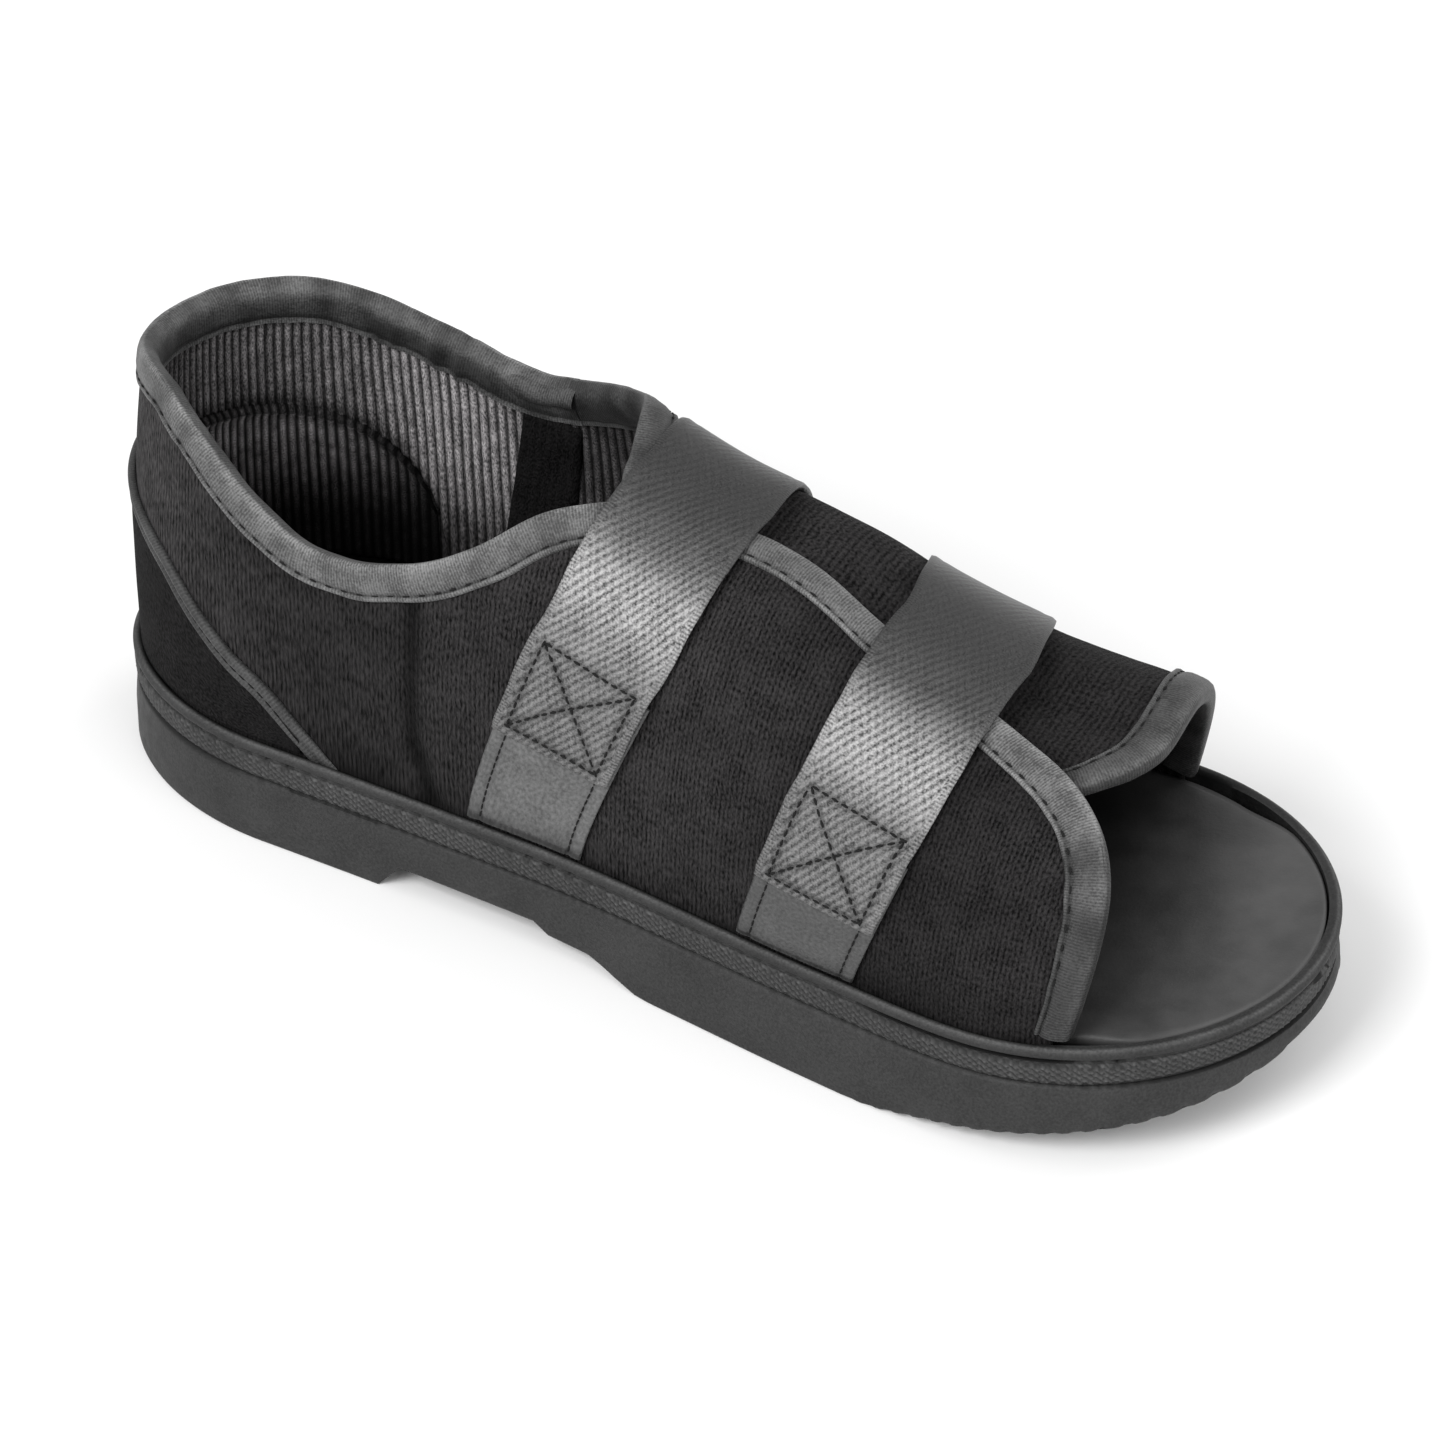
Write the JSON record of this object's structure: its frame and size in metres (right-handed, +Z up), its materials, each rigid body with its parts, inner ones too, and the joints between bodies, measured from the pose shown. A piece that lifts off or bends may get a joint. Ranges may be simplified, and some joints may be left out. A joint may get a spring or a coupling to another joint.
{
  "type": "post-operative open-toe shoe",
  "caption": "Wrap-over fabric shoe, open at the toe, on a thick rocker sole, closed by webbing straps over the instep; fits either foot.",
  "frame": {"origin": "on the floor under the middle of the shoe's length and width", "axes": "+X to the toe, +Z up, the sewn ends of the straps on the -Y side"},
  "size_m": [0.2764, 0.1026, 0.1007],
  "materials": {
    "sole_rubber": "matte black moulded rubber",
    "insole_cover": "smooth dark foam cover with a soft sheen",
    "upper_fabric": "black brushed fabric with fine upright ribs",
    "binding_tape": "dark grey woven edge tape",
    "strap_webbing": "grey twill webbing with a sheen",
    "tab_satin": "smooth dark grey satin tape"
  },
  "bodies": {
    "root": {"outsole": "sole_rubber", "insole": "insole_cover", "upper": "upper_fabric", "heel_counter": "upper_fabric", "collar_binding": "binding_tape", "near_flap_binding": "binding_tape", "far_flap_front_binding": "binding_tape", "far_flap_rear_binding": "binding_tape", "rear_strap": "strap_webbing", "front_strap": "strap_webbing", "rear_strap_tab": "tab_satin", "front_strap_tab": "tab_satin"}
  },
  "joints": []
}
